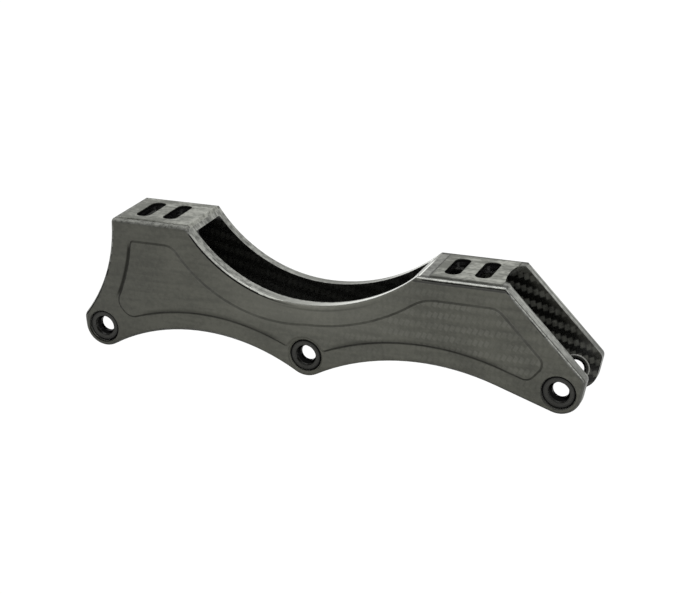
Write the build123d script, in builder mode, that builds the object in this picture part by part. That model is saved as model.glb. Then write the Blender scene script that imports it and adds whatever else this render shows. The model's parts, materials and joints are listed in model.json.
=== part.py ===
from build123d import *
from math import acos, atan2, cos, pi, sin, sqrt
import os

# Three-wheel inline skate frame in carbon laminate, bare, without wheels, axles or bolts.
# Millimetres. X runs from heel to toe, Y to the skater's left, Z up.
# The origin is on the rear axle line, halfway between the two side walls.

# Wheels and axles that the frame is made for
wheel_radius = 55.0
rear_wheel_gap = 4.4
axle_gap = 24.4
axle_bore_radius = 4.1

# Mounting slots under the boot: two pairs, each slot across the frame
mount_distance = 165.0
slot_pitch = 15.0
slot_width = 8.0
slot_length = 21.8
slot_corner_radius = 3.5

# Platforms, seen from the side
heel_edge_x = 9.1
heel_to_slot = 13.5
rear_platform_length = 42.8
front_platform_length = 42.6
slot_to_toe_edge = 14.0
toe_edge_to_axle = 26.4
rear_wheel_room = 1.5
heel_rise = 11.0
platform_thickness = 4.0
rear_corner_radius = 2.6

# Side walls
wall_thickness = 6.0
skin_thickness = 1.0
edge_radius = 1.8
inner_edge_radius = 1.2
ear_radius = 11.0
rear_arch_rise = 4.6
front_arch_rise = 4.7
front_arch_apex_share = 0.475
upper_arch_back = 0.4
upper_arch_low_height = 27.0
nose_ahead = 9.45
nose_height = 6.8
nose_radius = 3.2
heel_tip_back = 6.2
heel_tip_height = 3.6
heel_tip_radius = 5.0
channel_corner_radius = 3.5

# Room that the front wheel needs under the front platform
front_wheel_clearance = 2.8
front_wheel_crown = 1.0
wheel_cut_corner_radius = 4.5

# Raised panels on the walls, with a foam core inside
panel_raise = 0.6
panel_ramp = 1.1
panel_margin = 9.5
panel_heel_margin = 11.1
panel_arch_radius = 73.0
panel_arch_back = 9.0
panel_arch_drop = 0.7
panel_crest_radius = 20.0
panel_top_margin = 10.6
panel_corner_radius = 2.2
panel_heel_radius = 7.0
panel_bend_radius = 22.0
panel_nose_radius = 5.6
panel_shoulder_radius = 9.0
panel_rear_clearance = 16.3
panel_middle_clearance = 9.6
panel_front_clearance = 13.0
panel_front_turn = -40.5
core_margin = 1.6

# Mount plates let into the platform tops
plate_step = 0.5
plate_inlay = 1.2
rear_plate_half_width = 15.4
front_plate_half_width = 16.2
plate_heel_margin = 3.2
plate_arch_margin = 4.9
plate_toe_margin = 2.2
plate_chamfer = 0.3

# Axle inserts and their seats in the walls
insert_flange_radius = 8.25
insert_flange_thickness = 1.5
insert_barrel_radius = 6.9
insert_proud = 0.5
insert_edge = 0.3
seat_recess = 1.0
seat_clearance = 0.2
seat_chamfer = 0.35
middle_seat_chamfer = 0.9
counterbore_radius = 5.4
counterbore_depth = 1.9

# How far a cutting solid runs past the face that it cuts
overrun = 5.0

# Places along X, worked out from the sizes above
rear_platform_start = heel_edge_x
rear_platform_end = heel_edge_x + rear_platform_length
rear_slot_x = heel_edge_x + heel_to_slot
front_slot_x = rear_slot_x + mount_distance
front_platform_end = front_slot_x + slot_pitch + slot_to_toe_edge
front_platform_start = front_platform_end - front_platform_length
middle_axle_x = 2 * wheel_radius + rear_wheel_gap
front_axle_x = front_platform_end + toe_edge_to_axle
low_point = (middle_axle_x - upper_arch_back, upper_arch_low_height)
nose_centre = (front_axle_x + nose_ahead, nose_height)
heel_tip = (-heel_tip_back, heel_tip_height)
slot_places = [
    (rear_slot_x, 0),
    (rear_slot_x + slot_pitch, 0),
    (front_slot_x, 0),
    (front_slot_x + slot_pitch, 0),
]

# Heights above the axle line
rear_platform_height = wheel_radius + rear_wheel_room + platform_thickness
front_platform_height = rear_platform_height - heel_rise
rear_shoulder_z = rear_platform_height - plate_step
front_shoulder_z = front_platform_height - plate_step
bridge_depth = platform_thickness - plate_step - skin_thickness
platforms = (
    (rear_platform_start, rear_platform_end, rear_platform_height),
    (front_platform_start, front_platform_end, front_platform_height),
)

# Widths from the middle plane
channel_half_width = axle_gap / 2 + insert_proud
half_width = channel_half_width + wall_thickness
liner_half_width = channel_half_width + skin_thickness


def on_circle(centre, radius, angle):
    """The point of a circle at an angle from +X, in the side view."""
    return (centre[0] + radius * cos(angle), centre[1] + radius * sin(angle))


def rear_lower_arch():
    """Three points of the arc that touches the rear and the middle ear."""
    half_span = middle_axle_x / 2
    reach = half_span**2 / (ear_radius + rear_arch_rise)
    radius = (reach - ear_radius + rear_arch_rise) / 2
    angle = atan2(rear_arch_rise - radius, half_span)
    left_touch = on_circle((0, 0), ear_radius, angle)
    right_touch = on_circle((middle_axle_x, 0), ear_radius, pi - angle)
    return left_touch, (half_span, rear_arch_rise), right_touch


def front_lower_arch():
    """Three points of the arc from the middle ear, and where its straight end touches the front ear."""
    apex_ahead = front_arch_apex_share * (front_axle_x - middle_axle_x)
    reach = apex_ahead**2 / (ear_radius + front_arch_rise)
    radius = (reach - ear_radius + front_arch_rise) / 2
    centre = (middle_axle_x + apex_ahead, front_arch_rise - radius)
    left_angle = atan2(centre[1], apex_ahead)
    across = front_axle_x - centre[0]
    lean = acos((radius + ear_radius) / sqrt(across**2 + centre[1] ** 2))
    end_angle = atan2(-centre[1], across) + lean
    return (
        on_circle((middle_axle_x, 0), ear_radius, left_angle),
        (centre[0], front_arch_rise),
        on_circle(centre, radius, end_angle),
        on_circle((front_axle_x, 0), ear_radius, end_angle - pi),
    )


def nose_touches():
    """Where the nose arc meets the toe slope, its middle, its end, and where the front ear takes over."""
    across = front_platform_end - nose_centre[0]
    down = front_platform_height - nose_height
    slope_angle = atan2(down, across) - acos(nose_radius / sqrt(across**2 + down**2))
    belt_lean = acos((ear_radius - nose_radius) / sqrt(nose_ahead**2 + nose_height**2))
    belt_angle = atan2(nose_height, nose_ahead) - belt_lean
    return (
        on_circle(nose_centre, nose_radius, slope_angle),
        on_circle(nose_centre, nose_radius, (slope_angle + belt_angle) / 2),
        on_circle(nose_centre, nose_radius, belt_angle),
        on_circle((front_axle_x, 0), ear_radius, belt_angle),
    )


def rear_edge_circle():
    """Centre and radius of the rear edge: upright at the platform, it runs out on the heel tip."""
    across = rear_platform_start - heel_tip[0]
    up = rear_platform_height - heel_tip[1]
    radius = (across**2 + up**2 - heel_tip_radius**2) / (2 * (heel_tip_radius + across))
    return (rear_platform_start - radius, rear_platform_height), radius


def heel_touches():
    """Where the heel tip's arc meets the rear ear's tangent and the rear edge, and its middle."""
    edge_centre = rear_edge_circle()[0]
    edge_angle = atan2(edge_centre[1] - heel_tip[1], edge_centre[0] - heel_tip[0])
    belt_lean = acos((ear_radius - heel_tip_radius) / sqrt(heel_tip_back**2 + heel_tip_height**2))
    belt_angle = atan2(heel_tip_height, -heel_tip_back) + belt_lean
    return (
        on_circle((0, 0), ear_radius, belt_angle),
        on_circle(heel_tip, heel_tip_radius, belt_angle),
        on_circle(heel_tip, heel_tip_radius, (belt_angle + edge_angle) / 2),
        on_circle(heel_tip, heel_tip_radius, edge_angle),
    )


# Side view of the frame, with the platforms as high as the mount plates
slope_touch, nose_middle, nose_leave, ear_leave = nose_touches()
front_arch_left, front_arch_apex, front_arch_right, front_ear_touch = front_lower_arch()
rear_arch_left, rear_arch_apex, rear_arch_right = rear_lower_arch()
rear_ear_touch, tip_leave, tip_middle, rear_touch = heel_touches()
with BuildSketch(Plane.XZ) as side_view:
    with BuildLine():
        Line((rear_platform_start, rear_platform_height), (rear_platform_end, rear_platform_height))
        TangentArc(low_point, (rear_platform_end, rear_platform_height), tangent=(-1, 0))
        TangentArc(low_point, (front_platform_start, front_platform_height), tangent=(1, 0))
        Line((front_platform_start, front_platform_height), (front_platform_end, front_platform_height))
        Line((front_platform_end, front_platform_height), slope_touch)
        ThreePointArc(slope_touch, nose_middle, nose_leave)
        Line(nose_leave, ear_leave)
        ThreePointArc(ear_leave, (front_axle_x, -ear_radius), front_ear_touch)
        Line(front_ear_touch, front_arch_right)
        ThreePointArc(front_arch_right, front_arch_apex, front_arch_left)
        ThreePointArc(front_arch_left, (middle_axle_x, -ear_radius), rear_arch_right)
        ThreePointArc(rear_arch_right, rear_arch_apex, rear_arch_left)
        ThreePointArc(rear_arch_left, (0, -ear_radius), rear_ear_touch)
        Line(rear_ear_touch, tip_leave)
        ThreePointArc(tip_leave, tip_middle, rear_touch)
        TangentArc((rear_platform_start, rear_platform_height), rear_touch, tangent=(0, -1))
    make_face()
    fillet(side_view.vertices().group_by(Axis.Y)[-1].sort_by(Axis.X)[0], rear_corner_radius)


def nested_space(inset, depth, corner, lining):
    """All that lies deeper than inset from the wall faces and depth from the shoulders.

    Its section across the frame is a bar with rounded upper corners, higher behind the arch's low point.
    With a lining it also holds the front wheel's clearance grown by the lining, a round drum."""
    reach = half_width - inset
    split_x = low_point[0]
    toe_x = nose_centre[0] + nose_radius + overrun
    spans = (
        (-heel_tip_back - ear_radius - overrun, split_x, rear_shoulder_z - depth),
        (split_x, toe_x, front_shoulder_z - depth),
    )
    with BuildPart() as space:
        for start, end, top in spans:
            with BuildSketch(Plane.YZ.offset(start)) as section:
                with Locations((0, (top - ear_radius - overrun) / 2)):
                    Rectangle(2 * reach, top + ear_radius + overrun)
                fillet(section.vertices().group_by(Axis.Y)[-1], corner)
            extrude(amount=end - start)
        if lining is not None:
            rim = wheel_radius + front_wheel_clearance + lining - front_wheel_crown
            with BuildSketch(Plane.YZ.offset(front_axle_x)) as drum:
                with BuildLine():
                    ThreePointArc((-reach, rim), (0, rim + front_wheel_crown), (reach, rim))
                    Polyline((reach, rim), (reach, 0), (-reach, 0), (-reach, rim))
                make_face()
                fillet(drum.vertices().group_by(Axis.Y)[-1], wheel_cut_corner_radius + lining)
            revolve(axis=Axis((front_axle_x, 0, 0), (0, 1, 0)))
    return space.part


# Outer form of the laminate, up to the shoulders beside the mount plates
with BuildPart() as outer_form:
    extrude(side_view.sketch, amount=half_width, both=True)
    for start, end, top in platforms:
        with BuildSketch(Plane.XY.offset(top - plate_step)):
            with Locations(((start + end) / 2, 0)):
                Rectangle(end - start + 2 * overrun, 2 * half_width + 2 * overrun)
        extrude(amount=plate_step + overrun, mode=Mode.SUBTRACT)
    for side in (0, -1):
        fillet(outer_form.faces().sort_by(Axis.Y)[side].edges(), edge_radius)

# Layers inside the outer form: what the outer skin covers, what the inner skin bounds, and the channel
covered = nested_space(skin_thickness, skin_thickness, inner_edge_radius, None)
bounded = nested_space(
    wall_thickness - skin_thickness, bridge_depth, channel_corner_radius + skin_thickness, skin_thickness
)
channel = nested_space(wall_thickness, bridge_depth + skin_thickness, channel_corner_radius, 0)


def panel_outline(draw_in):
    """The raised panel in side view, all round smaller by draw_in.

    It is the outline drawn in by its margin, kept clear of the heel edge, the arch's rear half, the
    platforms and the holes."""
    edge_centre, edge_reach = rear_edge_circle()
    arch_low = upper_arch_low_height - panel_margin - panel_arch_drop
    with BuildSketch(Plane.XZ) as panel_view:
        add(side_view.sketch)
        offset(amount=-panel_margin - draw_in, mode=Mode.REPLACE)
        for start, end, top in platforms:
            with Locations(((start + end) / 2, top)):
                top_band = 2 * panel_top_margin + 2 * draw_in
                Rectangle(end - start + 2 * overrun, top_band, mode=Mode.SUBTRACT)
        with Locations(edge_centre):
            Circle(edge_reach + panel_heel_margin + draw_in, mode=Mode.SUBTRACT)
        with Locations((low_point[0] - panel_arch_back, arch_low + panel_arch_radius)):
            Circle(panel_arch_radius + draw_in, mode=Mode.SUBTRACT)
        Circle(panel_rear_clearance + draw_in, mode=Mode.SUBTRACT)
        with Locations((middle_axle_x, 0)):
            Circle(panel_middle_clearance + draw_in, mode=Mode.SUBTRACT)
        with Locations((front_axle_x, 0)):
            nose_band = 2 * panel_front_clearance + 2 * draw_in
            Rectangle(nose_band, 2 * nose_band, panel_front_turn, mode=Mode.SUBTRACT)
        shoulders = []
        for place in ((rear_platform_end, rear_platform_height), (front_platform_end, front_platform_height)):
            shoulders.append(panel_view.vertices().sort_by_distance(place)[0])
        fillet(shoulders, panel_shoulder_radius - draw_in)
        nose_corners = panel_view.vertices().sort_by_distance((front_axle_x, 0))[:2]
        fillet(nose_corners, panel_nose_radius - draw_in)
        heel_corners = panel_view.vertices().sort_by_distance((0, 0))[:2]
        fillet(heel_corners, panel_heel_radius - draw_in)
        fillet(panel_view.vertices().sort_by_distance(platforms[0][::2])[0], panel_corner_radius - draw_in)
        fillet(panel_view.vertices().sort_by_distance(platforms[1][::2])[0], panel_bend_radius - draw_in)
        fillet(panel_view.vertices().sort_by_distance(low_point)[0], panel_crest_radius - draw_in)
        middle_corners = panel_view.vertices().sort_by_distance((middle_axle_x, 0))[:2]
        fillet(middle_corners, panel_corner_radius - draw_in)
    return panel_view.sketch


# Raised panel of the right wall's skin, with a ramp all round
with BuildPart() as right_panel:
    with BuildSketch(Plane.XZ.offset(half_width - skin_thickness)):
        add(panel_outline(0))
    extrude(amount=skin_thickness + panel_raise)
    rim = right_panel.faces().sort_by(Axis.Y)[0]
    chamfer(rim.edges(), panel_ramp, panel_raise, reference=rim)

# Foam cores: they fill the walls under the raised panels
with BuildPart() as right_core:
    with BuildSketch(Plane.XZ.offset(liner_half_width)):
        add(panel_outline(core_margin))
    extrude(amount=half_width - skin_thickness + panel_raise - liner_half_width)
    right_core.part.label = "right_core"

with BuildPart() as left_core:
    mirror(right_core.part, about=Plane.XZ)
    left_core.part.label = "left_core"


def insert_seat(place_x, mouth):
    """Room for one insert in the right wall: a chamfered mouth, the flange's seat and the barrel's hole."""
    seat_radius = insert_flange_radius + seat_clearance
    seat_floor = half_width - seat_recess - insert_flange_thickness
    outside = half_width + overrun
    with BuildPart() as seat:
        with BuildSketch(Plane.XY):
            with BuildLine():
                Polyline(
                    (0, -outside),
                    (seat_radius + mouth + overrun, -outside),
                    (seat_radius, mouth - half_width),
                    (seat_radius, -seat_floor),
                    (insert_barrel_radius, -seat_floor),
                    (insert_barrel_radius, overrun - channel_half_width),
                    (0, overrun - channel_half_width),
                    close=True,
                )
            make_face()
        revolve(axis=Axis.Y)
    return seat.part.moved(Location((place_x, 0, 0)))


# Seats for all six inserts
with BuildPart() as seats:
    add(insert_seat(0, seat_chamfer))
    add(insert_seat(middle_axle_x, middle_seat_chamfer))
    add(insert_seat(front_axle_x, seat_chamfer))
    mirror(about=Plane.XZ)

# Right insert on the rear axle: a flanged bushing with a wider mouth for the axle's head
with BuildPart() as right_rear_insert:
    flange_y = half_width - seat_recess
    with BuildSketch(Plane.XY):
        with BuildLine():
            Polyline(
                (counterbore_radius, -flange_y),
                (insert_flange_radius - insert_edge, -flange_y),
                (insert_flange_radius, insert_edge - flange_y),
                (insert_flange_radius, insert_flange_thickness - flange_y),
                (insert_barrel_radius, insert_flange_thickness - flange_y),
                (insert_barrel_radius, -axle_gap / 2 - insert_edge),
                (insert_barrel_radius - insert_edge, -axle_gap / 2),
                (axle_bore_radius + insert_edge, -axle_gap / 2),
                (axle_bore_radius, -axle_gap / 2 - insert_edge),
                (axle_bore_radius, counterbore_radius - axle_bore_radius + counterbore_depth - flange_y),
                (counterbore_radius, counterbore_depth - flange_y),
                close=True,
            )
        make_face()
    revolve(axis=Axis.Y)
    right_rear_insert.part.label = "right_rear_insert"

with BuildPart() as right_middle_insert:
    add(right_rear_insert.part.moved(Location((middle_axle_x, 0, 0))))
    right_middle_insert.part.label = "right_middle_insert"

with BuildPart() as right_front_insert:
    add(right_rear_insert.part.moved(Location((front_axle_x, 0, 0))))
    right_front_insert.part.label = "right_front_insert"

with BuildPart() as left_rear_insert:
    mirror(right_rear_insert.part, about=Plane.XZ)
    left_rear_insert.part.label = "left_rear_insert"

with BuildPart() as left_middle_insert:
    mirror(right_middle_insert.part, about=Plane.XZ)
    left_middle_insert.part.label = "left_middle_insert"

with BuildPart() as left_front_insert:
    mirror(right_front_insert.part, about=Plane.XZ)
    left_front_insert.part.label = "left_front_insert"

# Slots for the mounting bolts, right through both platforms
with BuildPart() as slots:
    with BuildSketch(Plane.XY.offset(front_shoulder_z - platform_thickness - overrun)):
        with Locations(slot_places):
            RectangleRounded(slot_width, slot_length, slot_corner_radius)
    extrude(amount=rear_platform_height - front_shoulder_z + platform_thickness + 2 * overrun)

# Mount plate of the heel: it runs forward to the cut of the arch
with BuildPart() as rear_mount_plate:
    extrude(side_view.sketch, amount=rear_plate_half_width, both=True)
    plate_start = rear_platform_start + plate_heel_margin
    plate_end = rear_platform_end + overrun
    with BuildSketch(Plane.XY.offset(rear_shoulder_z - plate_inlay)):
        with Locations(((plate_start + plate_end) / 2, 0)):
            Rectangle(plate_end - plate_start, 2 * half_width)
    extrude(amount=plate_step + plate_inlay + overrun, mode=Mode.INTERSECT)
    chamfer(rear_mount_plate.faces().sort_by(Axis.Z)[-1].edges(), plate_chamfer)
    add(slots.part, mode=Mode.SUBTRACT)
    rear_mount_plate.part.label = "rear_mount_plate"

# Mount plate of the ball of the foot: the front wheel's clearance bites into its end
with BuildPart() as front_mount_plate:
    extrude(side_view.sketch, amount=front_plate_half_width, both=True)
    plate_start = front_platform_start + plate_arch_margin
    plate_end = front_platform_end - plate_toe_margin
    with BuildSketch(Plane.XY.offset(front_shoulder_z - plate_inlay)):
        with Locations(((plate_start + plate_end) / 2, 0)):
            Rectangle(plate_end - plate_start, 2 * half_width)
    extrude(amount=plate_step + plate_inlay + overrun, mode=Mode.INTERSECT)
    chamfer(front_mount_plate.faces().sort_by(Axis.Z)[-1].edges(), plate_chamfer)
    add(slots.part, mode=Mode.SUBTRACT)
    add(channel, mode=Mode.SUBTRACT)
    front_mount_plate.part.label = "front_mount_plate"

# Outer skin: one sheet over both walls and both platforms
with BuildPart() as outer_skin:
    add(outer_form.part)
    add(covered, mode=Mode.SUBTRACT)
    add(right_panel.part)
    mirror(right_panel.part, about=Plane.XZ)
    add([right_core.part, left_core.part], mode=Mode.SUBTRACT)
    add(seats.part, mode=Mode.SUBTRACT)
    add([rear_mount_plate.part, front_mount_plate.part, slots.part, bounded], mode=Mode.SUBTRACT)
    outer_skin.part.label = "outer_skin"

# Inner skin: it lines the channel, the platforms' undersides and the front wheel's clearance
with BuildPart() as inner_skin:
    add(outer_form.part)
    add(bounded, mode=Mode.INTERSECT)
    add(channel, mode=Mode.SUBTRACT)
    add(seats.part, mode=Mode.SUBTRACT)
    add([slots.part, front_mount_plate.part], mode=Mode.SUBTRACT)
    inner_skin.part.label = "inner_skin"

# Thick laminate between the skins, still in one
with BuildPart() as laminate:
    add(outer_form.part)
    add(covered, mode=Mode.INTERSECT)
    add(bounded, mode=Mode.SUBTRACT)
    add(seats.part, mode=Mode.SUBTRACT)
    add([rear_mount_plate.part, front_mount_plate.part, slots.part], mode=Mode.SUBTRACT)
    add([right_core.part, left_core.part], mode=Mode.SUBTRACT)

# Rims: the walls' laminate around the cores
with BuildPart() as right_rim:
    add(laminate.part)
    split(bisect_by=Plane.XZ.offset(liner_half_width), keep=Keep.TOP)
    right_rim.part.label = "right_rim"

with BuildPart() as left_rim:
    mirror(right_rim.part, about=Plane.XZ)
    left_rim.part.label = "left_rim"

# Bridges: the platforms' laminate between the walls
with BuildPart() as rear_bridge:
    add(laminate.part)
    split(bisect_by=Plane.XZ.offset(liner_half_width), keep=Keep.BOTTOM)
    split(bisect_by=Plane.XZ.offset(-liner_half_width), keep=Keep.TOP)
    split(bisect_by=Plane.YZ.offset(low_point[0]), keep=Keep.BOTTOM)
    rear_bridge.part.label = "rear_bridge"

with BuildPart() as front_bridge:
    add(laminate.part)
    split(bisect_by=Plane.XZ.offset(liner_half_width), keep=Keep.BOTTOM)
    split(bisect_by=Plane.XZ.offset(-liner_half_width), keep=Keep.TOP)
    split(bisect_by=Plane.YZ.offset(low_point[0]), keep=Keep.TOP)
    front_bridge.part.label = "front_bridge"

os.makedirs("parts", exist_ok=True)
export_step(outer_skin.part, "parts/outer_skin.step")
export_step(inner_skin.part, "parts/inner_skin.step")
export_step(right_rim.part, "parts/right_rim.step")
export_step(left_rim.part, "parts/left_rim.step")
export_step(right_core.part, "parts/right_core.step")
export_step(left_core.part, "parts/left_core.step")
export_step(rear_bridge.part, "parts/rear_bridge.step")
export_step(front_bridge.part, "parts/front_bridge.step")
export_step(rear_mount_plate.part, "parts/rear_mount_plate.step")
export_step(front_mount_plate.part, "parts/front_mount_plate.step")
export_step(right_rear_insert.part, "parts/right_rear_insert.step")
export_step(right_middle_insert.part, "parts/right_middle_insert.step")
export_step(right_front_insert.part, "parts/right_front_insert.step")
export_step(left_rear_insert.part, "parts/left_rear_insert.step")
export_step(left_middle_insert.part, "parts/left_middle_insert.step")
export_step(left_front_insert.part, "parts/left_front_insert.step")
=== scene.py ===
import json
import math

import bpy
import numpy as np
from mathutils import Matrix, Vector


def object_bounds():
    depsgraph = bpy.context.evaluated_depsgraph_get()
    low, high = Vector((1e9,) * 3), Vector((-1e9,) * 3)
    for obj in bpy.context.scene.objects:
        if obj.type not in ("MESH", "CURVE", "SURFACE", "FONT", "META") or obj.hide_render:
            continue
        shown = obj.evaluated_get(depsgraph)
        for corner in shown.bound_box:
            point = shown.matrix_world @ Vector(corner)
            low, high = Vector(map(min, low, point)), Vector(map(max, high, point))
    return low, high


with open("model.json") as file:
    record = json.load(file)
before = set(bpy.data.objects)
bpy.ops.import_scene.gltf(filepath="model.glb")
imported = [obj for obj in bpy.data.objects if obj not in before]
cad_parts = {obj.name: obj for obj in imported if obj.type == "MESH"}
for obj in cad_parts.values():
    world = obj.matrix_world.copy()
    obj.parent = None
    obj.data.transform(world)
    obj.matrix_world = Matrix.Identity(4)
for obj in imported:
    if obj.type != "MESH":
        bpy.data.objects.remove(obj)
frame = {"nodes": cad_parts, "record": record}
cad_box = [list(corner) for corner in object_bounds()]
mounts = {mount["name"]: mount["pos_m"] for mount in frame["record"]["mounts"]}

MM = 0.001


def mm(*lengths):
    """Lengths given in millimetres, in metres."""
    return tuple(length * MM for length in lengths)


def span_at(place, start, end):
    """The two ends of a stretch given in millimetres from a place in metres."""
    return place + start * MM, place + end * MM


# Sizes from the frame's box and mounts
PANEL_RAISE = 0.6 * MM
WALL_THICKNESS = 6.0 * MM
HALF_WIDTH = cad_box[1][1] - PANEL_RAISE
CHANNEL_HALF_WIDTH = HALF_WIDTH - WALL_THICKNESS
EAR_RADIUS = -cad_box[0][2]
MIDDLE_AXLE = mounts["middle_axle"][0]
WHEELBASE = mounts["front_axle"][0]
REAR_TOP = mounts["rear_platform_top"][2]
FRONT_TOP = mounts["front_platform_top"][2]
REAR_SLOTS = mounts["rear_slots"][0]
FRONT_SLOTS = mounts["front_slots"][0]

# Platforms and mount plates
HEEL_EDGE = REAR_SLOTS - 21.0 * MM
REAR_PLATFORM_END = HEEL_EDGE + 42.8 * MM
TOE_EDGE = WHEELBASE - 26.4 * MM
FRONT_PLATFORM_START = TOE_EDGE - 42.6 * MM
FRONT_PLATE_START = FRONT_PLATFORM_START + 4.9 * MM
PLATFORM_THICKNESS = 4.0 * MM
REAR_PLATE_SIDE, FRONT_PLATE_SIDE = mm(15.4, 16.2)
SLOT_LENGTH, SLOT_WIDTH, SLOT_PITCH = mm(21.8, 8.0, 15.0)
SLOT_REACH_ACROSS = SLOT_LENGTH / 2 + 0.7 * MM
SLOT_REACH_ALONG = (SLOT_PITCH + SLOT_WIDTH) / 2 + 1.0 * MM

# Axle inserts: flange, barrel and mouth of the bore, and the reach of the widest seat
FLANGE_RADIUS, BARREL_RADIUS, MOUTH_RADIUS = mm(8.25, 6.9, 5.4)
SEAT_REACH = 9.8 * MM

# Raised panels: their distance from the arches between the axles and from the heel edge
PANEL_MARGIN, PANEL_HEEL_MARGIN = mm(9.5, 11.1)

# Toe slope: the direction in X and Z that it faces
SLOPE_FACES = (0.728, 0.686)

# Width of the tows in each cloth, and the lean of the inner cloth's rows
OUTER_TOW, INNER_TOW = mm(2.0, 2.2)
INNER_LEAN = math.radians(12.0)


def arch_between_axles(middle, half_span, rise):
    """Centre and radius of the arc that touches an ear on each side of its middle, half_span away.

    At its middle the arc rises to a given height above the axles."""
    reach = half_span**2 / (EAR_RADIUS + rise)
    radius = (reach - EAR_RADIUS + rise) / 2
    return (middle, rise - radius), radius


def arch_through(low_point, end):
    """Centre and radius of the arc that is level at its low point and passes through its end."""
    run, rise = end[0] - low_point[0], end[1] - low_point[1]
    radius = (run**2 + rise**2) / (2 * rise)
    return (low_point[0], low_point[1] + radius), radius


# Arcs of the side view
HEEL_EDGE_RADIUS = 84.89 * MM
HEEL_EDGE_CENTRE = (HEEL_EDGE - HEEL_EDGE_RADIUS, REAR_TOP)
UPPER_ARCH_LOW_POINT = (MIDDLE_AXLE - 0.4 * MM, 27.0 * MM)
UPPER_ARCH = arch_through(UPPER_ARCH_LOW_POINT, (FRONT_PLATFORM_START, FRONT_TOP))
FRONT_ARCH_APEX = 0.475 * (WHEELBASE - MIDDLE_AXLE)
REAR_UNDER_ARCH = arch_between_axles(MIDDLE_AXLE / 2, MIDDLE_AXLE / 2, 4.6 * MM)
FRONT_UNDER_ARCH = arch_between_axles(MIDDLE_AXLE + FRONT_ARCH_APEX, FRONT_ARCH_APEX, 4.7 * MM)

# Colours of cut and worn laminate, with painted highlights on its edges and painted shade on its underside
# and in the seats
CUT_DARK, CUT_LIGHT = (0.070, 0.072, 0.064), (0.28, 0.285, 0.26)
EDGE_HIGHLIGHT = (0.46, 0.47, 0.43)
TOE_PALE = (0.42, 0.43, 0.40)
ARCH_GREY, ARCH_HIGHLIGHT = (0.25, 0.255, 0.23), (0.70, 0.71, 0.67)
ARCH_DULL = (0.10, 0.102, 0.092)
WORN_NOSE = (0.05, 0.051, 0.045)
WORN_HEEL = (0.05, 0.051, 0.042)
WORN_TOP = (0.075, 0.077, 0.068)
UNDERSIDE_SHADE = (0.045, 0.045, 0.038)
SEAT_WALL = (0.035, 0.035, 0.030)
PLY_DARK = (0.04, 0.041, 0.036)
SKIN_PLY_DARK = (0.03, 0.03, 0.027)

# Colours of the woven faces, with painted shade, a painted sheen and painted highlights on the tows
CLOTH_DARK, CLOTH_LIGHT = (0.046, 0.0465, 0.036), (0.077, 0.0775, 0.061)
CLOTH_EDGE = (0.058, 0.0585, 0.046)
CLOTH_SHADE = (0.012, 0.012, 0.010)
CLOTH_PAINTED_SHEEN = (0.30, 0.30, 0.255)
TOW_PAINTED_HIGHLIGHT = (0.14, 0.14, 0.12)
GLOSS_DARK, GLOSS_HIGHLIGHT = (0.0025, 0.0025, 0.002), (0.085, 0.086, 0.075)
GLOSS_RUBBED = (0.06, 0.06, 0.05)
SCOOP_GREY = (0.050, 0.051, 0.043)

# Colours of lines and joints, some of them painted shade, and of the painted highlight over the arch
GROOVE_AND_SHADE_DARK = (0.006, 0.006, 0.005)
CONTOUR_SHADE = (0.010, 0.010, 0.008)
LINE_AND_SHADOW_DARK = (0.004, 0.004, 0.0035)
SLOT_SHADE = (0.005, 0.005, 0.005)
JOINT_DARK, CREST_HIGHLIGHT = (0.012, 0.012, 0.010), (0.65, 0.66, 0.62)

# Colours of the mount plates, the inserts with their painted shade and painted glint, the foam and the
# surroundings
PLATE_DARK, PLATE_LIGHT = (0.082, 0.085, 0.071), (0.26, 0.265, 0.235)
METAL_DARK, METAL_LIGHT = (0.014, 0.014, 0.0125), (0.042, 0.042, 0.037)
METAL_SHADE, METAL_GLINT = (0.002, 0.002, 0.002), (0.30, 0.30, 0.28)
FOAM_DARK, FOAM_LIGHT = (0.7, 0.68, 0.6), (0.85, 0.83, 0.75)
FLOOR_GREY, WHITE = (0.62, 0.62, 0.61), (1.0, 1.0, 1.0)

# Noise of each finish: waves to the metre, levels of detail and, on some, how rough the finer levels are
CLOTH_GRAIN, CLOTH_CLOUDS, CLOTH_BREAKS = (1100.0, 3.0), (40.0, 3.0), (110.0, 3.0)
CLOTH_MOTTLE, EDGE_FLECKS = (420.0, 4.0, 0.65), (1500.0, 2.0)
CUT_SPOTS, CUT_LAYERS = (380.0, 3.0), (900.0, 3.0)
GLOSS_GRAIN, GLOSS_CLOUDS = (700.0, 3.0), (150.0, 4.0)
PLATE_SPOTS, PLATE_CLOUDS = (480.0, 4.0, 0.65), (110.0, 4.0)
METAL_GRAIN, METAL_TURNING = (1600.0, 2.0), (900.0, 2.0)
FOAM_CELLS = (2500.0, 2.0)

# Marks drawn out along the frame: how much longer than wide, and waves to the metre across them
MARK_STRETCH = 0.12
CLOTH_STREAKS, PLATE_MARKS = (420.0, 3.0), (650.0, 3.0)
LAYERS_ALONG_WALL, LAYERS_ACROSS_WALL = 0.05, 1.6

# Stretches of noise over which a colour or a roughness goes from its first value to its second
NOISE_SPREAD = (0.3, 0.7)
CLOTH_SPREAD, CUT_SPREAD, PLATE_SPREAD = (0.38, 0.62), (0.36, 0.64), (0.40, 0.59)

# Roughness of each finish, from its smoothest spots to its roughest
CLOTH_ROUGHNESS, EDGE_ROUGHNESS = (0.42, 0.56), (0.24, 0.42)
GLOSS_ROUGHNESS, CUT_ROUGHNESS = (0.24, 0.36), (0.28, 0.48)
PLATE_ROUGHNESS, FOAM_ROUGHNESS = (0.34, 0.5), (0.8, 0.95)
METAL_ROUGHNESS, BORE_ROUGHNESS = (0.24, 0.36), 0.14

# Strength of the reflection on plain faces and in dark lines
PLAIN_SPECULAR, LINE_SPECULAR = 0.5, 0.03


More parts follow.
